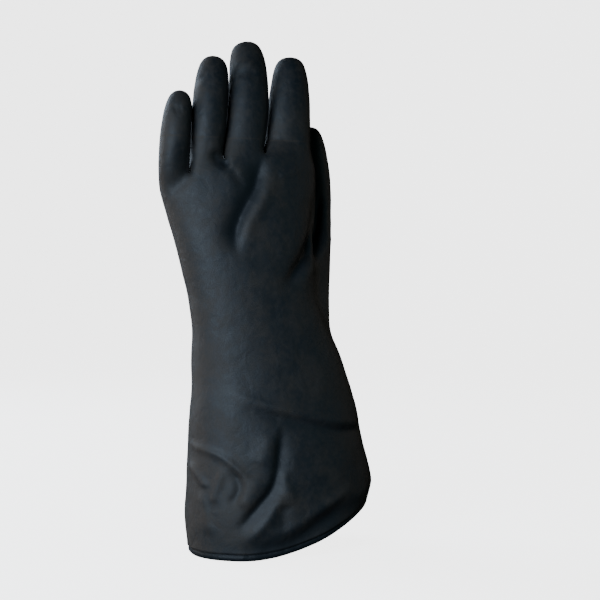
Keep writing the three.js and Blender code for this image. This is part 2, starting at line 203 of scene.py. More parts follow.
FOLDS = (
    Fold("between middle and index", BACK, 4.8, 4.6, 7.6, 1.7,
         ((-1, 284), (-4.5, 262), (-7.5, 248), (-13, 237), (-18, 226), (-21, 214), (-19.5, 198))),
    Fold("edge beside that fold", BACK, -1.2, 5, 5, 2,
         ((5, 262), (0, 246), (-6, 234), (-12, 224), (-15, 210))),
    Fold("between ring and middle", BACK, 2.2, 4.5, 3.5, 2,
         ((-35, 276), (-33, 268), (-29, 265), (-24, 264))),
    Fold("pit below the ring and middle", BACK, 1.5, 2.4, 2.4, 2, ((-30, 268), (-26, 262.5))),
    Fold("crease below that pit", BACK, 0.8, 2.4, 3, 2, ((-27, 265), (-20, 256), (-15, 248))),
    Fold("dent in the little fingertip", BACK, 1, 3.4, 3.4, 2,
         ((-63, 300), (-60, 301), (-56, 302))),
    Fold("dent in the ring fingertip", BACK, 0.9, 2, 2, 2,
         ((-52, 319), (-46, 323), (-40, 327))),
    Fold("ridge across the middle fingertip", BACK, -0.8, 2.6, 2.6, 2,
         ((-23, 334), (-16, 336.5), (-7, 335))),
    Fold("dent in the middle fingertip", BACK, 0.8, 3, 3, 2,
         ((-23, 328), (-15, 329.5), (-6, 328))),
    Fold("crease across the index finger", BACK, 0.7, 1.7, 1.7, 2,
         ((-2, 284), (10, 283.5), (27, 280))),
    Fold("pad above the index knuckle", BACK, -0.9, 2.6, 3.4, 2,
         ((7, 256.5), (14.5, 260), (22, 262.5))),
    Fold("crease across the ring finger", BACK, 0.6, 2, 2, 2,
         ((-54, 280), (-44, 277.5), (-36, 279))),
    Fold("below the little finger", BACK, 1.3, 3.8, 7, 1.8,
         ((-53, 280), (-54, 268), (-56, 254), (-62, 248), (-68, 240))),
    Fold("round the root of the thumb", BACK, 5.4, 5, 5, 1.6,
         ((37, 250), (37, 240), (37, 229), (36, 221), (33, 213), (27, 200), (18, 188), (8, 178))),
    Fold("rim of the thumb's root", BACK, -2, 5, 5, 2,
         ((44, 226), (41, 215), (36, 204), (28, 193), (19, 182))),
    Fold("step round the cuff, upper side", BACK, -1.1, 3.4, 6, 2,
         ((-28, 110), (-16, 107), (0, 101.5), (18, 96.5), (34, 91.5), (50, 87.5), (68, 84))),
    Fold("step round the cuff, lower side", BACK, 2.2, 3.6, 5.5, 1.7,
         ((-16, 103.5), (1, 95.5), (18, 91), (34, 86.5), (48, 82.5), (63, 80), (74, 78))),
    Fold("sharp crease down the cuff", BACK, 3, 5.5, 2.2, 1.6,
         ((12, 90), (9.7, 80), (8.2, 66), (6.5, 53), (1.5, 42.5), (-6, 34), (-14.5, 24),
          (-24, 15))),
    Fold("hollow round that crease", BACK, 0.5, 9, 8, 2,
         ((14, 86), (11, 70), (8, 56), (2, 42), (-5, 31), (-13, 22), (-26, 11))),
    Fold("bulge left of the crease, high", BACK, -1.2, 6, 6, 2, ((2, 84), (0, 71), (-4, 60))),
    Fold("bulge left of the crease, low", BACK, -1.8, 7, 7, 2,
         ((-6, 55), (-10, 43), (-18, 32))),
    Fold("ridge right of the crease", BACK, -1.3, 4, 4, 2,
         ((13, 60), (12, 52), (15, 43), (18, 33))),
    Fold("ridge under the crease", BACK, -1.2, 3.6, 4, 2,
         ((12, 46), (9, 37), (0, 24), (-6, 17), (-18, 7))),
    Fold("pocket between those ridges", BACK, 1.3, 5, 5, 2, ((12, 36), (12, 26), (10, 16))),
    Fold("thin ridge near the little side", BACK, -1.4, 2.4, 3, 1.7,
         ((-56, 74), (-47.3, 72.3), (-34.2, 68.8), (-25.9, 64.6), (-17.6, 57.7), (-9.3, 49.4))),
    Fold("second ridge near the little side", BACK, -1.2, 2.4, 2.4, 2,
         ((-55, 63), (-46, 52), (-39, 45))),
    Fold("third ridge near the little side", BACK, -1.2, 2.6, 2.6, 2,
         ((-29, 60), (-33, 46), (-36, 34))),
    Fold("dent near the little side", BACK, 1.6, 2.8, 2.8, 2,
         ((-25, 60), (-18.5, 50), (-19, 42), (-26, 34))),
    Fold("low ridge near the little side", BACK, -1.2, 3.2, 3.2, 2,
         ((-44, 44), (-41, 27.4), (-38, 12))),
    Fold("hollow where the cuff turns in", BACK, 2.6, 6, 7, 2,
         ((-24, 4), (0, 5), (18, 9), (34, 19), (49, 28), (67, 32))),
    Fold("ridge above that hollow", BACK, -1.1, 4, 4, 2,
         ((10, 15), (22, 20), (36, 29), (50, 38), (62, 44))),
    Fold("crease across the palm", PALM, 4, 5, 6, 1.6,
         ((40, 232), (36, 223), (18, 206), (8, 192), (-8, 178))),
    Fold("second crease across the palm", PALM, 2.2, 4, 5, 1.8,
         ((22, 222), (6, 210), (-6, 204), (-16, 202))),
    Fold("hollow of the wrist", PALM, 4, 15, 15, 2, ((26, 164), (12, 156), (0, 152))),
    Fold("slanting ridge of the gauntlet", PALM, -4, 10, 10, 2,
         ((-44, 182), (-30, 152), (-16, 124), (0, 102), (16, 86))),
    Fold("step below the slanting ridge", PALM, 3.8, 5, 7, 1.7,
         ((22, 80), (0, 85), (-18, 84), (-38, 80), (-58, 76))),
    Fold("fold down the palm side", PALM, 4.5, 5, 7, 1.6,
         ((-24, 78), (-30, 60), (-40, 42), (-50, 26))),
    Fold("fold down the little side", LITTLE_SIDE, 3.4, 7, 7, 1.8,
         ((18, 100), (10, 76), (12, 52), (20, 30))),
)

# How a fold is laid on the skin: the share of its length over which each end fades, how squarely
# the skin has to face the side it is seen from, and the steps between two points of its line
FOLD_FADE = 0.25
FACING_FADE = 0.4
LINE_STEPS = 6

# The least half width, and the power, that a fold has in the inner skin
INNER_SPREAD = 5.5
INNER_POWER = 2

# The skin's unevenness: the size of its forms, the seed of their noise and their share
UNEVEN_FORMS = ((26, 3, 1), (9, 11, 0.35))

# The cage's columns, counted from the thumb's edge over the palm to the little finger's edge and
# back over the back of the hand, with as many points between the edges on both
FINGER_COUNT = len(FINGERS)
BACK_POINTS = FINGER_COUNT * FACES_PER_FINGER + 1
COLUMNS = 2 * BACK_POINTS + 2
THUMB_EDGE = 0
LITTLE_EDGE = BACK_POINTS + 1


class SkinSide(NamedTuple):
    """A side of the skin.

    It has its material's name, how much dry bloom it has, which also paints shade into the folds,
    how much rougher it is than clean rubber and how strong its grain is.
    """

    material: str
    bloom_and_fold_shade: float
    rougher: float
    grain: float


OUTSIDE = SkinSide("rubber_outside", 0.8, 0.0, 1.0)
INSIDE = SkinSide("rubber_inside", 0.9, 0.15, 0.8)

# Place of the inside's material among the skin's
INSIDE_INDEX = 1

# The rubber's tone: how fine each noise is, the part of it that shows, and how much it adds at
# most
PATCH_SCALE = 42.0
PATCH_RANGE = (0.42, 0.64)
PATCH_SHARE = 0.65
MOTTLE_SCALE = 260.0
MOTTLE_RANGE = (0.36, 0.66)
MOTTLE_SHARE = 0.5

# The relief: the scale of the crinkles as a share of the grain's, and the heights of both
CRINKLE_SCALE = 0.16
CRINKLE_HEIGHT = 0.8
GRAIN_HEIGHT = 0.07

# Dry bloom: the depths of fold in millimetres between which it comes on, which paints shade into
# the folds, how much rougher it is, and the faint line across the fingers where the dipping ended
FOLD_SHADE_DEPTHS = (3.6, -1.2)
BLOOM_ROUGHER = 0.22
TIDE_HEIGHT = 0.2865
TIDE_WIDTH = 0.0011
TIDE_STRENGTH = 0.45

# The glossy film on clean and on dry rubber, the depths of fold in millimetres and the heights up
# the fingers over which it fades, as painted shade in the folds and on the fingertips, and how
# much rougher than the rubber it is
FILM_CLEAN = 0.56
FILM_DRY = 0.26
FILM_SHADE_DEPTHS = (1.0, 5.2)
TIP_SHADE_HEIGHTS = (0.27, 0.345)
FILM_ROUGHER = 0.1

# The shine of the rubber under the film, and its soft rim
BODY_SHINE = 0.22
SHEEN_WEIGHT = 0.05
SHEEN_ROUGHNESS = 0.4


class Light(NamedTuple):
    """A light: where it stands round the glove, in degrees and metres, its size and colour.

    Its power is the studio's setting of the same name.
    """

    name: str
    azimuth: float
    elevation: float
    distance: float
    size: tuple
    color: tuple


COOL = (0.69, 0.83, 1)
WARM = (1, 0.84, 0.7)
SHADE = (0.45, 0.9, 0.95)
LIGHTS = (
    Light("key", -48, 10, 1.3, (0.7, 0.9), COOL),
    Light("side", -115, 6, 1.3, (0.9, 1.1), WARM),
    Light("fill", 52, 12, 1.5, (1.4, 1.4), SHADE),
    Light("rim", 96, 12, 1.3, (0.3, 0.9), WARM),
    Light("back", 218, 28, 1.4, (1, 1), COOL),
)
LIGHT_TARGET = Vector((0, 0, 0.19))
CAMERA_TARGET = Vector((0.0006, -0.004, 0.1753))
SENSOR_WIDTH = 36

# The floor's rings from its middle to the top of its wall, as radius and height, the sides of
# each ring, and how floor and surround look
STAGE_PROFILE = (
    (0.7, 0.0),
    (1.6, 0.0),
    (2.0, 0.04),
    (2.3, 0.16),
    (2.55, 0.4),
    (2.7, 0.8),
    (2.75, 1.6),
)
STAGE_SIDES = 64
FLOOR_ROUGHNESS = 0.85
SURROUND_COLOR = (0.97, 0.98, 1, 1)
SURROUND_GLOW = 4.4


class GloveShape(bpy.types.PropertyGroup):
    """Sizes of the glove that a user would change."""

    wall: FloatProperty(
        name="Rubber thickness",
        description="Thickness of the dipped rubber",
        default=0.0015,
        unit="LENGTH",
    )
    roll_height: FloatProperty(
        name="Rolled edge height",
        description="Half the height of the rolled edge of the cuff",
        default=0.0026,
        unit="LENGTH",
    )
    roll_thickness: FloatProperty(
        name="Rolled edge thickness",
        description="Half the thickness of the rolled edge of the cuff",
        default=0.0022,
        unit="LENGTH",
    )
    edge_lift: FloatProperty(
        name="Edge lift",
        description="How far the cuff's edge curls up off the floor on the thumb side",
        default=0.034,
        unit="LENGTH",
    )
    fold_strength: FloatProperty(
        name="Fold strength",
        description="How deep the folds are pressed in, as a share of their real depth",
        default=1.0,
        subtype="FACTOR",
    )
    unevenness: FloatProperty(
        name="Unevenness",
        description="How far the skin wanders off its smooth form",
        default=0.0005,
        unit="LENGTH",
    )


class GloveFinish(bpy.types.PropertyGroup):
    """Colours and sizes of the rubber's finish."""

    rubber_color: FloatVectorProperty(
        name="Rubber",
        description="Colour of the clean black rubber",
        default=(0.0065, 0.0098, 0.0125),
        size=3,
        subtype="COLOR",
    )
    bloom_color: FloatVectorProperty(
        name="Dry bloom",
        description="Colour of the dry film that the rubber gets in store",
        default=(0.034, 0.0285, 0.0235),
        size=3,
        subtype="COLOR",
    )
    inside_color: FloatVectorProperty(
        name="Inside",
        description="Colour of the unlined inside",
        default=(0.012, 0.0125, 0.0135),
        size=3,
        subtype="COLOR",
    )
    sheen_color: FloatVectorProperty(
        name="Soft rim",
        description="Colour of the soft light at the rubber's turned away edges",
        default=(0.9, 0.72, 0.56),
        size=3,
        subtype="COLOR",
    )
    roughness: FloatProperty(
        name="Roughness",
        description="Roughness of the clean rubber",
        default=0.55,
        subtype="FACTOR",
    )
    grain: FloatProperty(
        name="Grain size",
        description="Size of the fine grain of the dipped skin",
        default=0.0016,
        unit="LENGTH",
    )


class GloveStudio(bpy.types.PropertyGroup):
    """Camera, lights and floor of the studio."""

    azimuth: FloatProperty(
        name="Camera azimuth",
        description="Where the camera stands round the glove, 0 facing the back of the hand",
        default=math.radians(-20),
        subtype="ANGLE",
    )
    elevation: FloatProperty(
        name="Camera elevation",
        description="How far the camera looks down",
        default=math.radians(1),
        subtype="ANGLE",
    )
    distance: FloatProperty(
        name="Camera distance",
        description="From the camera to the glove's middle",
        default=0.87,
        unit="LENGTH",
    )
    sidestep: FloatProperty(
        name="Camera sidestep",
        description="How far right the camera stands, which puts the glove left of the middle",
        default=0.02244,
        unit="LENGTH",
    )
    lens: FloatProperty(
        name="Lens",
        description="Focal length of the camera",
        default=74.46,
        unit="CAMERA",
    )
    key_power: FloatProperty(
        name="Key light",
        description="Power of the big soft light on the left",
        default=22.5,
        unit="POWER",
    )
    side_power: FloatProperty(
        name="Side light",
        description="Power of the warm soft light on the far left",
        default=6.5,
        unit="POWER",
    )
    fill_power: FloatProperty(
        name="Fill light",
        description="Power of the weak soft light on the right",
        default=1.5,
        unit="POWER",
    )
    rim_power: FloatProperty(
        name="Rim light",
        description="Power of the warm light on the right of the glove",
        default=0.7,
        unit="POWER",
    )
    back_power: FloatProperty(
        name="Back light",
        description="Power of the soft light on the palm side",
        default=17.0,
        unit="POWER",
    )
    floor_color: FloatVectorProperty(
        name="Floor",
        description="Colour of the plain pale floor",
        default=(0.8, 0.8, 0.8),
        size=3,
        subtype="COLOR",
    )


# Cage of the outer skin, in millimetres


def swell(count):
    """How much larger a cage loop of so many points is than the ring it is smoothed to."""
    return 3 / (2 + math.cos(2 * math.pi / count))


def smoothstep(value):
    """Runs smoothly from 0 to 1 as value does."""
    share = np.clip(value, 0, 1)
    return share * share * (3 - 2 * share)


def catmull_rom(points, share):
    """A point at a share of the way along a smooth curve through the points."""
    last = len(points) - 1
    span = min(int(share * last), last - 1)
    t = share * last - span
    start, end = (np.array(points[i], float) for i in (span, span + 1))
    before = np.array(points[span - 1], float) if span else 2 * start - end
    after = np.array(points[span + 2], float) if span + 2 <= last else 2 * end - start
    slope = 0.5 * (end - before)
    next_slope = 0.5 * (after - start)
    rise = end - start
    square_part = 3 * rise - 2 * slope - next_slope
    cube_part = slope + next_slope - 2 * rise
    return start + t * slope + t**2 * square_part + t**3 * cube_part


def quadratic(points, share):
    """A point of the quadratic curve that three points pull."""
    start, pull, end = (np.array(p, float) for p in points)
    return (1 - share) ** 2 * start + 2 * share * (1 - share) * pull + share**2 * end


def palm_column(place):
    """Column on the palm, counted from the little finger's outer side."""
    return BACK_POINTS - place


def back_column(place):
    """Column on the back of the hand, counted from the little finger's outer side."""
    return (LITTLE_EDGE + 1 + place) % COLUMNS


def lift_at(turn, edge_lift):
    """How far the cuff's edge is off the floor at a turn about the axis."""
    offset = math.atan2(math.sin(turn - LIFT_PEAK), math.cos(turn - LIFT_PEAK))
    share = offset / LIFT_PALM_SPAN if offset > 0 else -offset / LIFT_BACK_SPAN
    return edge_lift * 0.5 * (1 + math.cos(math.pi * share)) if share < 1 else 0


def knuckle_at(place):
    """Where a column stands across the knuckles, from -1 to 1."""
    finger = min(int(place / FACES_PER_FINGER), FINGER_COUNT - 1)
    share = place / FACES_PER_FINGER - finger
    knuckles = SECTIONS[-1]
    x = KNUCKLES[finger] + (KNUCKLES[finger + 1] - KNUCKLES[finger]) * share
    return (x - knuckles.x) / knuckles.across


def section_point(section, column, edge_lift):
    """A cage point of a section, at a column."""
    turn = 2 * math.pi * column / COLUMNS
    side = 1 if column < LITTLE_EDGE else -1
    along = math.cos(turn)
    if column not in (THUMB_EDGE, LITTLE_EDGE):
        place = BACK_POINTS - column if side > 0 else column - LITTLE_EDGE - 1
        along += (knuckle_at(place) - along) * section.even
    out = max(0, 1 - abs(along) ** section.square) ** (1 / section.square)
    x = section.across * along * swell(COLUMNS)
    y = section.deep * side * out * swell(COLUMNS) + section.cup * along * along
    fade = max(0, 1 - section.z / LIFT_REACH)
    level = section.z + section.slope * x - section.dome * along * along
    return section.x + x, section.y + y, level + lift_at(turn, edge_lift) * fade * fade


def cage_sections():
    """The sections of the table with further ones between them."""
    made = []
    for low, high in zip(SECTIONS, SECTIONS[1:]):
        for step in range(ROWS_PER_BAND):
            share = step / ROWS_PER_BAND
            made.append(Section(*(a + (b - a) * share for a, b in zip(low, high))))
    return [*made, SECTIONS[-1]]


def loop_edges(mesh, loop):
    """The edges between the points of a closed loop."""
    return [mesh.edges.get(pair) for pair in zip(loop, [*loop[1:], loop[0]])]


def extrude_loop(mesh, loop):
    """Extrudes a closed loop of points and returns the new loop in the same order."""
    made = bmesh.ops.extrude_edge_only(mesh, edges=loop_edges(mesh, loop))["geom"]
    fresh = {item for item in made if isinstance(item, bmesh.types.BMVert)}
    return [
        next(edge.other_vert(v) for edge in v.link_edges if edge.other_vert(v) in fresh)
        for v in loop
    ]


def place_loop(loop, points):
    """Moves the points of a loop, and returns it."""
    for vert, point in zip(loop, points):
        vert.co = point
    return loop


def grow_digit(cage, base, curve, rings, half_width, half_depth, root_growth=0, first_angle=0):
    """Extrudes a finger or the thumb from its loop of the hand, ring by ring, and caps it."""
    loop = base
    grown = swell(len(base))
    for share, size in rings:
        middle = Vector(curve(share))
        before = Vector(curve(share - DIRECTION_REACH))
        after = Vector(curve(share + DIRECTION_REACH))
        along = (after - before).normalized()
        right = (Vector((1, 0, 0)) - along * along.x).normalized()
        front = along.cross(right)
        wide = half_width * (size + root_growth * max(0, 1 - share / ROOT_REACH)) * grown
        deep = half_depth * size * grown
        angles = [first_angle + 2 * math.pi * i / len(base) for i in range(len(base))]
        ring = [middle + right * math.cos(a) * wide + front * math.sin(a) * deep for a in angles]
        loop = place_loop(extrude_loop(cage, loop), ring)
    bmesh.ops.contextual_create(cage, geom=loop_edges(cage, loop))


def grow_fingers(cage, top):
    """Extrudes the four fingers from the top loop of the hand, with a web between each two."""
    side_points = [top[LITTLE_EDGE]]
    for gap in range(1, FINGER_COUNT):
        place = gap * FACES_PER_FINGER
        across = cage.edges.new((top[back_column(place)], top[palm_column(place)]))
        side_points.append(bmesh.utils.edge_split(across, across.verts[0], 0.5)[1])
    side_points.append(top[THUMB_EDGE])
    for index, finger in enumerate(FINGERS):
        places = range(index * FACES_PER_FINGER, (index + 1) * FACES_PER_FINGER + 1)
        palm = [top[palm_column(place)] for place in reversed(places)]
        back = [top[back_column(place)] for place in places]
        base = [side_points[index + 1], *palm, side_points[index], *back]
        root = sum((v.co for v in base), Vector()) / len(base)
        bend = (root + Vector(finger.tip)) / 2 + 2 * Vector((*finger.bend, 0))
        pulls = (root, bend, finger.tip)
        grow_digit(
            cage,
            base,
            partial(quadratic, pulls),
            FINGER_RINGS,
            finger.across,
            finger.deep,
            root_growth=finger.root,
        )


def grow_thumb(cage, rows):
    """Cuts the window on the thumb side of the hand and extrudes the thumb from it."""
    low = THUMB_LOW * ROWS_PER_BAND
    high = THUMB_HIGH * ROWS_PER_BAND
    columns = [back_column(BACK_POINTS - 1), *range(THUMB_EDGE, THUMB_PALM_COLUMNS + 1)]
    window = []
    for row in range(low, high):
        for column, following in zip(columns, columns[1:]):
            corners = (
                rows[row][column],
                rows[row][following],
                rows[row + 1][following],
                rows[row + 1][column],
            )
            window.append(cage.faces.get(corners))
    between = rows[low + 1 : high]
    base = [
        *(rows[low][column] for column in columns),
        *(row[columns[-1]] for row in between),
        *(rows[high][column] for column in reversed(columns)),
        *(row[columns[0]] for row in reversed(between)),
    ]
    bmesh.ops.delete(cage, geom=window, context="FACES")
    grow_digit(
        cage,
        base,
        partial(catmull_rom, THUMB_PATH),
        THUMB_RINGS,
        THUMB_ACROSS,
        THUMB_DEEP,
        first_angle=THUMB_TURN,
    )


def make_cage(edge_lift):
    """The coarse cage of the outer skin, open at the cuff."""
    cage = bmesh.new()
    loop = bmesh.ops.create_circle(cage, segments=COLUMNS, radius=1)["verts"]
    rows = []
    for index, section in enumerate(cage_sections()):
        if index:
            loop = extrude_loop(cage, loop)
        points = [section_point(section, column, edge_lift) for column in range(COLUMNS)]
        rows.append(place_loop(loop, points))
    grow_fingers(cage, rows[-1])
    grow_thumb(cage, rows)
    bmesh.ops.recalc_face_normals(cage, faces=cage.faces)
    return cage


# Smooth skin and its folds


def smooth_mesh(cage, levels):
    """The mesh that a Subdivision Surface modifier makes of a cage."""
    mesh = bpy.data.meshes.new("cage")
    cage.to_mesh(mesh)
    holder = bpy.data.objects.new("cage", mesh)
    bpy.context.scene.collection.objects.link(holder)
    smooth = holder.modifiers.new("smooth", "SUBSURF")
    smooth.levels = levels
    smooth.render_levels = levels
    made = bpy.data.meshes.new_from_object(
        holder.evaluated_get(bpy.context.evaluated_depsgraph_get())
    )
    bpy.data.objects.remove(holder)
    bpy.data.meshes.remove(mesh)
    return made


def rows_of(items, name):
    """What each of a mesh's items holds under a name, as rows of x, y and z."""
    flat = np.empty(3 * len(items), np.float32)
    items.foreach_get(name, flat)
    return flat.reshape(-1, 3).astype(float)


def points_of(mesh):
    """The places of a mesh's points."""
    return rows_of(mesh.vertices, "co")


def normals_of(mesh):
    """The normals of a mesh's points."""
    return rows_of(mesh.vertex_normals, "vector")


def move_points(mesh, points):
    """Gives a mesh's points their new places."""
    mesh.vertices.foreach_set("co", points.astype(np.float32).ravel())
    mesh.update()


def nearest_on(line, across, height):
    """How far points of a view are left of a line, and their share of the way along it."""
    gap = np.full(len(across), np.inf)
    share = np.zeros(len(across))
    side = np.ones(len(across))
    spans = len(line) - 1
    for index, ((start_x, start_z), (end_x, end_z)) in enumerate(zip(line, line[1:])):
        run_x, run_z = end_x - start_x, end_z - start_z
        to_x, to_z = across - start_x, height - start_z
        t = np.clip((to_x * run_x + to_z * run_z) / (run_x**2 + run_z**2), 0, 1)
        distance = np.hypot(to_x - t * run_x, to_z - t * run_z)
        nearer = distance < gap
        gap = np.where(nearer, distance, gap)
        share = np.where(nearer, (index + t) / spans, share)
        side = np.where(nearer, np.sign(run_x * to_z - run_z * to_x), side)
    return gap * side, share


def fold_depth(fold, points, normals):
    """How deep a fold presses each point, in millimetres."""
    seen = math.radians(fold.seen)
    facing = normals[:, 0] * math.sin(seen) - normals[:, 1] * math.cos(seen)
    across = points[:, 0] * math.cos(seen) + points[:, 1] * math.sin(seen)
    steps = (len(fold.line) - 1) * LINE_STEPS
    line = [catmull_rom(fold.line, step / steps) for step in range(steps + 1)]
    offset, share = nearest_on(line, across, points[:, 2])
    half = np.where(offset > 0, fold.left, fold.right)
    profile = np.exp(-((np.abs(offset) / half) ** fold.power))
    ends = smoothstep(share / FOLD_FADE) * smoothstep((1 - share) / FOLD_FADE)
    return fold.depth * profile * ends * smoothstep(facing / FACING_FADE)


def inner_folds():
    """The folds that the coarser inner skin has, wide and round so that it stays inside."""
    return [
        fold._replace(
            left=max(fold.left, INNER_SPREAD),
            right=max(fold.right, INNER_SPREAD),
            power=INNER_POWER,
        )
        for fold in FOLDS
        if fold.depth > 0 or fold.left > INNER_SPREAD
    ]


def unevenness_at(points, size, seed):
    """Smooth wandering between -1 and 1 at each point, with forms of the given size."""
    shift = Vector((seed, seed, seed))
    return np.array([noise.noise(Vector(point) / size + shift) for point in points])


def press_skin(mesh, shape, folds):
    """Presses folds and a slight unevenness into a smooth skin, and returns the folds' depths."""
    points = points_of(mesh)
    normals = normals_of(mesh)
    depth = sum(fold_depth(fold, points, normals) for fold in folds) * shape.fold_strength
    uneven = sum(share * unevenness_at(points, size, seed) for size, seed, share in UNEVEN_FORMS)
    level = normals * (1, 1, 0)
    moved = points - level * depth[:, None]
    moved += level * (uneven * shape.unevenness / MM)[:, None]
    move_points(mesh, moved)
    return depth


# The whole shell


def open_loop(mesh):
    """The points of the open edge of a skin, in order."""
    edges = [edge for edge in mesh.edges if edge.is_boundary]
    following = {}
    for edge in edges:
        corner = edge.link_loops[0]
        following[corner.vert] = corner.link_loop_next.vert
    loop = [edges[0].verts[0]]
    while len(loop) < len(edges):
        loop.append(following[loop[-1]])
    return loop


def roll_edge(mesh, shape):
    """Extrudes the open edge of the outer skin through the rolled edge, down and inwards."""
    loop = open_loop(mesh)
    starts = [vert.co.copy() for vert in loop]
    aways = [(vert.normal * Vector((1, 1, 0))).normalized() for vert in loop]
    thick = shape.roll_thickness / MM
    high = shape.roll_height / MM
    inset = shape.wall / MM / 2 + ROLL_INSET
    for step in range(ROLL_STEPS + 1):
        angle = ROLL_START + (ROLL_END - ROLL_START) * step / ROLL_STEPS
        out = math.cos(angle) * thick - inset
        up = Vector((0, 0, (math.sin(angle) - 1) * high))
        loop = extrude_loop(mesh, loop)
        place_loop(loop, [start + away * out + up for start, away in zip(starts, aways)])


def join_skins(outer, inner, shape):
    """Joins the two skins with the rolled edge into one closed mesh.

    Also returns how many of its points are the outer skin's and the rolled edge's, which come
    first.
    """
    shell = bmesh.new()
    shell.from_mesh(outer)
    shell.normal_update()
    roll_edge(shell, shape)
    rolled_count = len(shell.verts)
    rolled_faces = len(shell.faces)
    shell.from_mesh(inner)
    shell.faces.ensure_lookup_table()
    inner_faces = shell.faces[rolled_faces:]
    bmesh.ops.reverse_faces(shell, faces=inner_faces)
    for face in inner_faces:
        face.material_index = INSIDE_INDEX
    bmesh.ops.bridge_loops(shell, edges=[edge for edge in shell.edges if edge.is_boundary])
    bmesh.ops.triangulate(shell, faces=[face for face in shell.faces if len(face.verts) > 4])
    mesh = bpy.data.meshes.new(SKIN_NAME)
    shell.to_mesh(mesh)
    shell.free()
    return mesh, rolled_count


def place_in_frame(mesh):
    """Turns a mesh from millimetres into metres and stands it where the CAD shell stands."""
    points = points_of(mesh) * MM
    low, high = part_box(SHELL_NODE)
    shift = np.array((low + high) / 2) - (points.min(0) + points.max(0)) / 2
    shift[2] = low.z - points[:, 2].min()
    move_points(mesh, points + shift)


def store_folds(mesh, depth, rolled_count):
    """Keeps how deep each point is pressed in, for the finish's painted shade. The outer skin
    comes first.
    """
    values = np.zeros(len(mesh.vertices), np.float32)
    values[: len(depth)] = depth
    # The rolled edge gets a deep fold's depth, so that the finish paints it dark: painted shade
    values[len(depth) : rolled_count] = ROLL_SHADE_DEPTH
    mesh.attributes.new(FOLD_ATTRIBUTE, "FLOAT", "POINT").data.foreach_set("value", values)


def make_shell_mesh(shape):
    """The closed mesh of the glove, placed in the frame, with the depth of its folds stored."""
    cage = make_cage(shape.edge_lift / MM)
    outer = smooth_mesh(cage, SMOOTH_LEVEL)
    inner = smooth_mesh(cage, INNER_LEVEL)
    cage.free()
    depth = press_skin(outer, shape, FOLDS)
    press_skin(inner, shape, inner_folds())
    move_points(inner, points_of(inner) - normals_of(inner) * shape.wall / MM)
    mesh, rolled_count = join_skins(outer, inner, shape)
    for spare in (outer, inner):
        bpy.data.meshes.remove(spare)
    place_in_frame(mesh)
    mesh.shade_smooth()
    store_folds(mesh, depth, rolled_count)
    return mesh


# Finish


def set_inputs(tree, node, inputs):
    """Sets the named sockets of a node, or links them where a socket is given."""
    for key, value in inputs.items():
        if isinstance(value, bpy.types.NodeSocket):
            tree.links.new(value, node.inputs[key])
        else:
            node.inputs[key].default_value = value


def add_node(tree, kind, inputs=None, **settings):
    """A new node with its settings and its inputs."""
    node = tree.nodes.new(kind)
    for key, value in settings.items():
        setattr(node, key, value)
    set_inputs(tree, node, inputs or {})
    return node


def math_node(tree, operation, *values, clamp=False):
    """What a Math node makes of sockets and numbers."""
    sockets = dict(enumerate(values))
    node = add_node(tree, "ShaderNodeMath", sockets, operation=operation, use_clamp=clamp)
    return node.outputs[0]


def map_range(tree, value, reads, gives, kind="SMOOTHSTEP"):
    """A value of the range that it reads, turned into one of the range that it gives."""
    inputs = {
        "Value": value,
        "From Min": reads[0],
        "From Max": reads[1],
        "To Min": gives[0],
        "To Max": gives[1],
    }
    return add_node(tree, "ShaderNodeMapRange", inputs, interpolation_type=kind).outputs["Result"]


def noise_at(tree, vector, scale, detail, roughness=0.5, distortion=0.0):
    """The value of a Noise Texture at a place."""
    inputs = {
        "Vector": vector,
        "Scale": scale,
        "Detail": detail,
        "Roughness": roughness,
        "Distortion": distortion,
    }
    return add_node(tree, "ShaderNodeTexNoise", inputs).outputs["Fac"]


def height_of(tree, vector):
    """The height of a place above the floor."""
    return add_node(tree, "ShaderNodeSeparateXYZ", {"Vector": vector}).outputs["Z"]


def new_group(name, output, **numbers):
    """A shader node group that makes a number of a place and numbers, and its two end nodes."""
    group = bpy.data.node_groups.new(name, "ShaderNodeTree")
    group.interface.new_socket("Vector", in_out="INPUT", socket_type="NodeSocketVector")
    for label, value in numbers.items():
        socket = group.interface.new_socket(label, in_out="INPUT", socket_type="NodeSocketFloat")
        socket.default_value = value
    group.interface.new_socket(output, in_out="OUTPUT", socket_type="NodeSocketFloat")
    return group, group.nodes.new("NodeGroupInput"), group.nodes.new("NodeGroupOutput")


def tone_group():
    """Slow patches and fine mottle of the rubber's tone, from 0 to 1."""
    scales = {"Patch": PATCH_SCALE, "Mottle": MOTTLE_SCALE}
    group, start, end = new_group("rubber_tone", "Tone", **scales)
    place, patch_scale, mottle_scale = start.outputs[:3]
    patch = noise_at(group, place, patch_scale, detail=3.0, roughness=0.55)
    mottle = noise_at(group, place, mottle_scale, detail=4.0, roughness=0.6)
    broad = map_range(group, patch, PATCH_RANGE, (0.0, PATCH_SHARE))
    fine = map_range(group, mottle, MOTTLE_RANGE, (0.0, MOTTLE_SHARE))
    group.links.new(math_node(group, "ADD", broad, fine, clamp=True), end.inputs["Tone"])
    return group


def grain_group():
    """The fine grain and the soft crinkles of a dipped skin, as a height in millimetres."""
    group, start, end = new_group("dipped_grain", "Height", Scale=600.0)
    place, scale = start.outputs[:2]
    fine = noise_at(group, place, scale, detail=4.0, roughness=0.6)
    crinkle_scale = math_node(group, "MULTIPLY", scale, CRINKLE_SCALE)
    crinkle = noise_at(group, place, crinkle_scale, detail=2.0, distortion=0.6)
    crinkles = math_node(group, "MULTIPLY", crinkle, CRINKLE_HEIGHT)
    height = math_node(group, "MULTIPLY_ADD", fine, GRAIN_HEIGHT, crinkles)
    group.links.new(height, end.inputs["Height"])
    return group


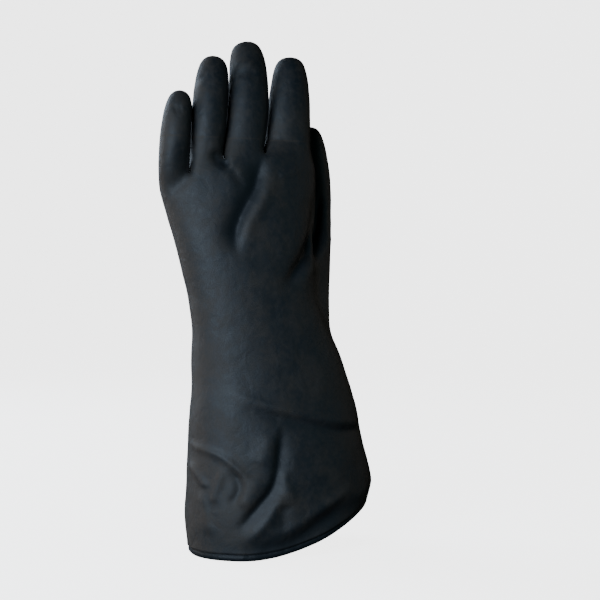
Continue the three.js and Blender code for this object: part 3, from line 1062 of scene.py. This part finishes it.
def bloom_and_fold_shade_group():
    """Dry bloom, 0 to 1, with its tide line, fuller on ridges and left out of folds as painted
    shade.
    """
    group, start, end = new_group("dry_bloom", "Mask", Tone=0.5, Fold=0.0, Amount=0.7)
    place, tone, fold, amount = start.outputs[:4]
    off_line = math_node(group, "SUBTRACT", height_of(group, place), TIDE_HEIGHT)
    distance = math_node(group, "ABSOLUTE", off_line)
    tide = map_range(group, distance, (TIDE_WIDTH, 0.0), (0.0, TIDE_STRENGTH))
    # Less bloom in the folds and more on ridges: painted shade in the folds
    clear_of_fold_shade = map_range(group, fold, FOLD_SHADE_DEPTHS, (0.0, 1.0))
    toned = math_node(group, "MULTIPLY", tone, clear_of_fold_shade)
    lined = math_node(group, "MULTIPLY_ADD", toned, amount, tide)
    group.links.new(math_node(group, "MINIMUM", lined, 1.0), end.inputs["Mask"])
    return group


def shine_group():
    """The glossy film: weaker under bloom, and faded in the folds and up the fingers as painted
    shade.
    """
    group, start, end = new_group("rubber_shine", "Shine", Bloom=0.5, Fold=0.0)
    place, bloom_and_fold_shade, fold = start.outputs[:3]
    # The film fades up the fingers and in the folds: painted shade on the fingertips and in the
    # folds
    film_below_tip_shade = map_range(group, height_of(group, place), TIP_SHADE_HEIGHTS, (1.0, 0.0))
    film = map_range(group, bloom_and_fold_shade, (0.0, 1.0), (FILM_CLEAN, FILM_DRY), "LINEAR")
    film_outside_fold_shade = map_range(group, fold, FILM_SHADE_DEPTHS, (1.0, 0.0), "LINEAR")
    skin_shine = math_node(group, "MULTIPLY", film, film_outside_fold_shade)
    group.links.new(math_node(group, "MULTIPLY", skin_shine, film_below_tip_shade), end.inputs["Shine"])
    return group


def rubber_material(side, film_color, groups, finish):
    """Black rubber: mottled tone, dry bloom, glossy film, grain, painted shade in folds and on
    fingertips.
    """
    material = bpy.data.materials.new(side.material)
    material.use_nodes = True
    tree = material.node_tree
    place = add_node(tree, "ShaderNodeTexCoord").outputs["Object"]
    fold = add_node(tree, "ShaderNodeAttribute", attribute_name=FOLD_ATTRIBUTE).outputs["Fac"]

    def grouped(name, **inputs):
        """What one of the groups gives at each place."""
        inputs["Vector"] = place
        return add_node(tree, "ShaderNodeGroup", inputs, node_tree=groups[name]).outputs[0]

    tone = grouped("tone")
    # Dry bloom, which also paints shade into the folds and onto the rolled edge
    bloom_and_fold_shade = grouped("bloom_and_fold_shade", Tone=tone, Fold=fold, Amount=side.bloom_and_fold_shade)
    height = grouped("grain", Scale=1 / finish.grain)
    # Glossy film, faded in the folds and up the fingers as painted shade
    shine = grouped("shine", Bloom=bloom_and_fold_shade, Fold=fold)
    colors = {"Factor": bloom_and_fold_shade, "A": (*finish.rubber_color, 1), "B": (*film_color, 1)}
    color = add_node(tree, "ShaderNodeMix", colors, data_type="RGBA").outputs["Result"]
    clean = finish.roughness + side.rougher
    rough = map_range(tree, bloom_and_fold_shade, (0.0, 1.0), (clean, clean + BLOOM_ROUGHER), "LINEAR")
    relief = {"Strength": side.grain, "Distance": MM, "Height": height}
    set_inputs(tree, tree.nodes["Principled BSDF"], {
        "Base Color": color,
        "Roughness": rough,
        "Normal": add_node(tree, "ShaderNodeBump", relief).outputs["Normal"],
        "Specular IOR Level": BODY_SHINE,
        "Coat Weight": shine,
        "Coat Roughness": clean + FILM_ROUGHER,
        "Sheen Weight": SHEEN_WEIGHT,
        "Sheen Roughness": SHEEN_ROUGHNESS,
        "Sheen Tint": (*finish.sheen_color, 1),
    })
    return material


class GLOVE_OT_make_shell(bpy.types.Operator):
    """Build the rubber glove with its folds, rolled edge, inside and finish"""

    bl_idname = "glove.make_shell"
    bl_label = "Make the glove"

    def execute(self, context):
        scene = context.scene
        mesh = make_shell_mesh(scene.glove_shape)
        shell = bpy.data.objects.new(SKIN_NAME, mesh)
        scene.collection.objects.link(shell)
        finish = scene.glove_finish
        groups = {
            "tone": tone_group(),
            "grain": grain_group(),
            "bloom_and_fold_shade": bloom_and_fold_shade_group(),
            "shine": shine_group(),
        }
        mesh.materials.append(rubber_material(OUTSIDE, finish.bloom_color, groups, finish))
        mesh.materials.append(rubber_material(INSIDE, finish.inside_color, groups, finish))
        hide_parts(SHELL_NODE)
        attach(shell, BODY)
        return {"FINISHED"}


# Studio


def from_side(azimuth, elevation, distance):
    """A place round the axis at an azimuth and elevation in radians."""
    level = math.cos(elevation) * distance
    height = math.sin(elevation) * distance
    return Vector((math.sin(azimuth) * level, -math.cos(azimuth) * level, height))


def add_area_light(scene, light, power):
    """A soft rectangular light aimed at the glove, which the camera doesn't see."""
    lamp = bpy.data.lights.new(light.name, "AREA")
    lamp.shape = "RECTANGLE"
    lamp.size, lamp.size_y = light.size
    lamp.energy = power
    lamp.color = light.color
    holder = bpy.data.objects.new(light.name, lamp)
    place = from_side(math.radians(light.azimuth), math.radians(light.elevation), light.distance)
    holder.location = LIGHT_TARGET + place
    holder.rotation_euler = (-place).to_track_quat("-Z", "Y").to_euler()
    holder.visible_camera = False
    scene.collection.objects.link(holder)


def make_stage_mesh():
    """A round floor that turns up into a wall all round."""
    dish = bmesh.new()
    middle = STAGE_PROFILE[0][0]
    made = bmesh.ops.create_circle(dish, cap_ends=True, segments=STAGE_SIDES, radius=middle)
    loop = made["verts"]
    turns = [2 * math.pi * index / STAGE_SIDES for index in range(STAGE_SIDES)]
    for radius, height in STAGE_PROFILE[1:]:
        ring = [(-math.sin(turn) * radius, math.cos(turn) * radius, height) for turn in turns]
        loop = place_loop(extrude_loop(dish, loop), ring)
    bmesh.ops.recalc_face_normals(dish, faces=dish.faces)
    mesh = bpy.data.meshes.new("stage")
    dish.to_mesh(mesh)
    dish.free()
    mesh.shade_smooth()
    return mesh


def make_stage(scene, color):
    """The pale floor, which glows to stay even and throws no light on the glove."""
    floor = bpy.data.objects.new("stage", make_stage_mesh())
    scene.collection.objects.link(floor)
    material = bpy.data.materials.new("pale_floor")
    material.use_nodes = True
    tree = material.node_tree
    set_inputs(tree, tree.nodes["Principled BSDF"], {
        "Base Color": (*color, 1),
        "Roughness": FLOOR_ROUGHNESS,
        "Emission Color": (*color, 1),
        "Emission Strength": SURROUND_GLOW,
    })
    floor.data.materials.append(material)
    floor.visible_glossy = False
    floor.visible_diffuse = False


def make_world(scene):
    """An even pale surround, which throws no light on the glove."""
    world = bpy.data.worlds.new("studio")
    world.use_nodes = True
    tree = world.node_tree
    look = {"Color": SURROUND_COLOR, "Strength": SURROUND_GLOW}
    set_inputs(tree, tree.nodes["Background"], look)
    scene.world = world
    world.cycles_visibility.glossy = False
    world.cycles_visibility.diffuse = False


def make_camera(scene, studio):
    """The camera at the height and angle the glove is seen from."""
    lens = bpy.data.cameras.new("camera")
    lens.lens = studio.lens
    lens.sensor_width = SENSOR_WIDTH
    holder = bpy.data.objects.new("camera", lens)
    right = Vector((math.cos(studio.azimuth), math.sin(studio.azimuth), 0))
    back = from_side(studio.azimuth, studio.elevation, studio.distance)
    holder.location = CAMERA_TARGET + back + right * studio.sidestep
    holder.rotation_euler = (-back).to_track_quat("-Z", "Y").to_euler()
    scene.collection.objects.link(holder)
    scene.camera = holder


class GLOVE_OT_make_studio(bpy.types.Operator):
    """Set the pale floor, the soft lights and the camera round the glove"""

    bl_idname = "glove.make_studio"
    bl_label = "Make the studio"

    def execute(self, context):
        scene = context.scene
        studio = scene.glove_studio
        make_world(scene)
        make_stage(scene, studio.floor_color)
        for light in LIGHTS:
            add_area_light(scene, light, getattr(studio, f"{light.name}_power"))
        make_camera(scene, studio)
        return {"FINISHED"}


class GLOVE_PT_sidebar(bpy.types.Panel):
    """The glove's tools in the 3D view's sidebar"""

    bl_label = "Rubber gauntlet glove"
    bl_idname = "GLOVE_PT_sidebar"
    bl_space_type = "VIEW_3D"
    bl_region_type = "UI"
    bl_category = "Glove"

    def draw(self, context):
        scene = context.scene
        groups = (
            (scene.glove_shape, GLOVE_OT_make_shell),
            (scene.glove_finish, None),
            (scene.glove_studio, GLOVE_OT_make_studio),
        )
        for group, operator in groups:
            box = self.layout.box()
            for name in group.__annotations__:
                box.prop(group, name)
            if operator:
                box.operator(operator.bl_idname)


CLASSES = (
    GloveShape,
    GloveFinish,
    GloveStudio,
    GLOVE_OT_make_shell,
    GLOVE_OT_make_studio,
    GLOVE_PT_sidebar,
)


def register():
    """Adds the properties, operators and panel."""
    for item in CLASSES:
        bpy.utils.register_class(item)
    bpy.types.Scene.glove_shape = PointerProperty(type=GloveShape)
    bpy.types.Scene.glove_finish = PointerProperty(type=GloveFinish)
    bpy.types.Scene.glove_studio = PointerProperty(type=GloveStudio)


def unregister():
    """Takes the properties, operators and panel away."""
    del bpy.types.Scene.glove_studio
    del bpy.types.Scene.glove_finish
    del bpy.types.Scene.glove_shape
    for item in reversed(CLASSES):
        bpy.utils.unregister_class(item)


def main():
    """Builds the whole scene."""
    register()
    bpy.ops.glove.make_shell()
    bpy.ops.glove.make_studio()


if __name__ == "__main__":
    main()
